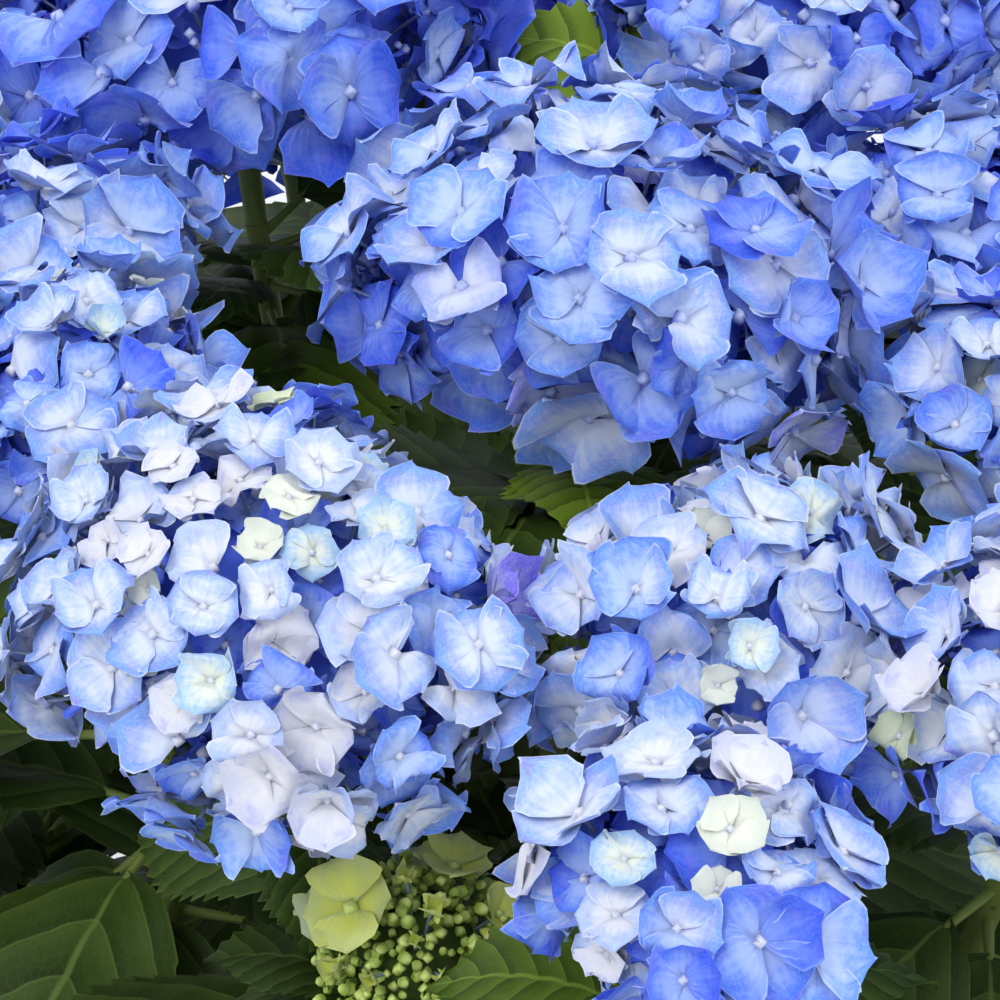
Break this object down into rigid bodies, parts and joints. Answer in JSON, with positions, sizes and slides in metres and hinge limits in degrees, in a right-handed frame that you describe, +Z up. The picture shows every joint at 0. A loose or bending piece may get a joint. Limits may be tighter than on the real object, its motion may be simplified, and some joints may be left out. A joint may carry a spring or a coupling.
{
  "type": "hydrangea shrub",
  "caption": "Compact mophead hydrangea in full bloom: short woody root crown, splayed canes, forking leafy green branches and a dome of round blue flower heads.",
  "frame": {"origin": "middle of the flat cut under the root crown, at ground level", "axes": "+Z up, -Y towards the side that the picture shows, +X to its right"},
  "size_m": [0.8926, 0.8908, 0.7122],
  "materials": {
    "bark": "rough grey-brown peeling bark",
    "foliage": "dark green leaf with a soft gloss, on green stems",
    "bloom_deep": "matt deep blue sepals",
    "bloom_mid": "matt mid blue sepals",
    "bloom_pale": "matt pale blue to white sepals with blue rims",
    "bloom_lime": "young yellow-green sepals and buds"
  },
  "bodies": {
    "root": {"bloom_back_left": "bloom_deep", "bloom_back_right": "bloom_mid", "bloom_centre": "bloom_mid", "bloom_far_right": "bloom_pale", "bloom_front_left": "bloom_pale", "bloom_front_right": "bloom_pale", "bloom_inner_1": "bloom_pale", "bloom_inner_2": "bloom_mid", "bloom_inner_3": "bloom_deep", "bloom_inner_4": "bloom_mid", "bloom_inner_5": "bloom_pale", "bloom_left": "bloom_mid", "bloom_left_low": "bloom_mid", "bloom_low": "bloom_pale", "bloom_outer_1": "bloom_mid", "bloom_outer_10": "bloom_deep", "bloom_outer_2": "bloom_deep", "bloom_outer_3": "bloom_mid", "bloom_outer_4": "bloom_pale", "bloom_outer_5": "bloom_mid", "bloom_outer_6": "bloom_deep", "bloom_outer_7": "bloom_mid", "bloom_outer_8": "bloom_pale", "bloom_outer_9": "bloom_mid", "bloom_right": "bloom_mid", "bloom_right_mid": "bloom_mid", "bloom_skirt_1": "bloom_pale", "bloom_skirt_2": "bloom_mid", "bloom_skirt_3": "bloom_deep", "bloom_skirt_4": "bloom_mid", "bloom_skirt_5": "bloom_pale", "bloom_young": "bloom_lime", "branch_1": "foliage", "branch_2": "foliage", "branch_3": "foliage", "branch_4": "foliage", "branch_5": "foliage", "branch_6": "foliage", "branch_7": "foliage", "branch_middle": "foliage", "cane_1": "bark", "cane_2": "bark", "cane_3": "bark", "cane_4": "bark", "cane_5": "bark", "cane_6": "bark", "cane_7": "bark", "cane_middle": "bark", "root_crown": "bark"}
  },
  "joints": []
}
